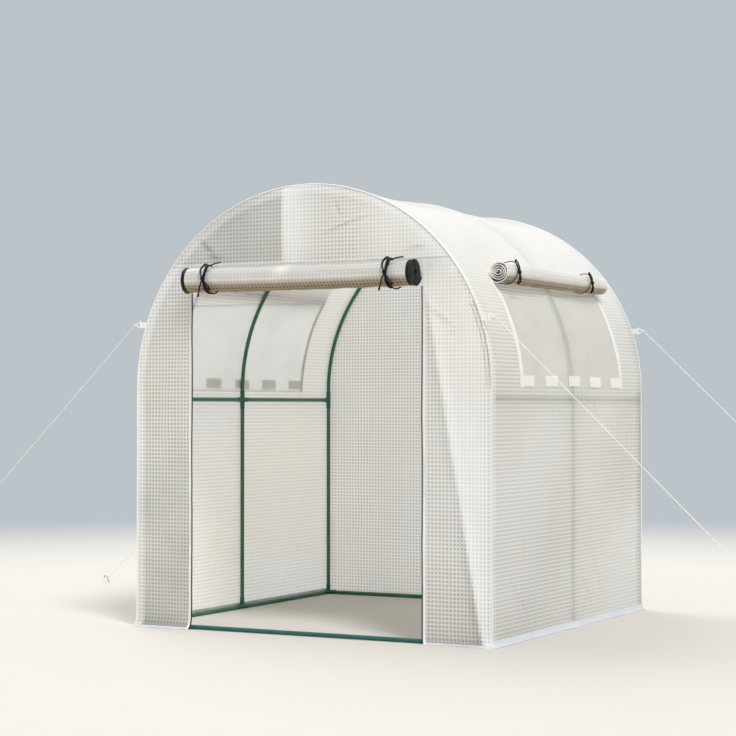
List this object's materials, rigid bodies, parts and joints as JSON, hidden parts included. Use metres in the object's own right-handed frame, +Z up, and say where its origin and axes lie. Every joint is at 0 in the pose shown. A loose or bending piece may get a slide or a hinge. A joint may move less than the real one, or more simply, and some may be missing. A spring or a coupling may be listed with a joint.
{
  "type": "polytunnel greenhouse",
  "caption": "Walk-in polytunnel greenhouse: translucent reinforced film over steel hoops, rolled-up door, netted side windows with rolled flaps, and guy ropes to pegs.",
  "frame": {"origin": "middle of the footprint on the ground, the door roll, rings, ropes and pegs included", "axes": "+X to the right along the front, +Y from the doorway to the rear panel, +Z up"},
  "size_m": [4.7614, 1.9328, 1.9998],
  "materials": {
    "painted_steel": "satin green paint",
    "fitting_plastic": "moulded, satin",
    "cover_film": "woven reinforced film, translucent, satin",
    "rolled_film": "rolled reinforced film, satin",
    "insect_net": "fine woven net, matte",
    "tie_cord": "woven cord, matte",
    "zip_tape": "zip teeth and tape, matte",
    "hook_and_loop": "hook-and-loop tape, matte",
    "webbing": "flat woven webbing",
    "ring_wire": "white coated wire",
    "guy_rope": "twisted white rope",
    "peg_steel": "zinc plated"
  },
  "bodies": {
    "root": {"anchor_rings": "ring_wire", "anchor_tabs": "webbing", "base_corner_fittings": "fitting_plastic", "base_rail_left": "painted_steel", "base_rail_rear": "painted_steel", "base_rail_right": "painted_steel", "base_tee_fittings": "fitting_plastic", "door_roll": "rolled_film", "door_roll_ties": "tie_cord", "door_sill_tube": "painted_steel", "door_zip_left": "zip_tape", "door_zip_right": "zip_tape", "front_hoop_bow": "painted_steel", "front_hoop_legs": "painted_steel", "front_panel_head": "cover_film", "front_panel_left": "cover_film", "front_panel_right": "cover_film", "guy_ropes": "guy_rope", "haunch_front_left": "cover_film", "haunch_front_right": "cover_film", "haunch_rear_left": "cover_film", "haunch_rear_right": "cover_film", "middle_hoop_bow": "painted_steel", "middle_hoop_legs": "painted_steel", "pegs": "peg_steel", "purlin_cross_fittings": "fitting_plastic", "purlin_left": "painted_steel", "purlin_right": "painted_steel", "purlin_tee_fittings": "fitting_plastic", "rear_hoop_bow": "painted_steel", "rear_hoop_legs": "painted_steel", "rear_panel": "cover_film", "ridge_clips": "fitting_plastic", "ridge_purlin": "painted_steel", "roof_film": "cover_film", "side_wall_left": "cover_film", "side_wall_right": "cover_film", "window_net_left": "insect_net", "window_net_right": "insect_net", "window_roll_left": "rolled_film", "window_roll_right": "rolled_film", "window_roll_ties_left": "tie_cord", "window_roll_ties_right": "tie_cord", "window_tabs_left": "hook_and_loop", "window_tabs_right": "hook_and_loop"}
  },
  "joints": []
}
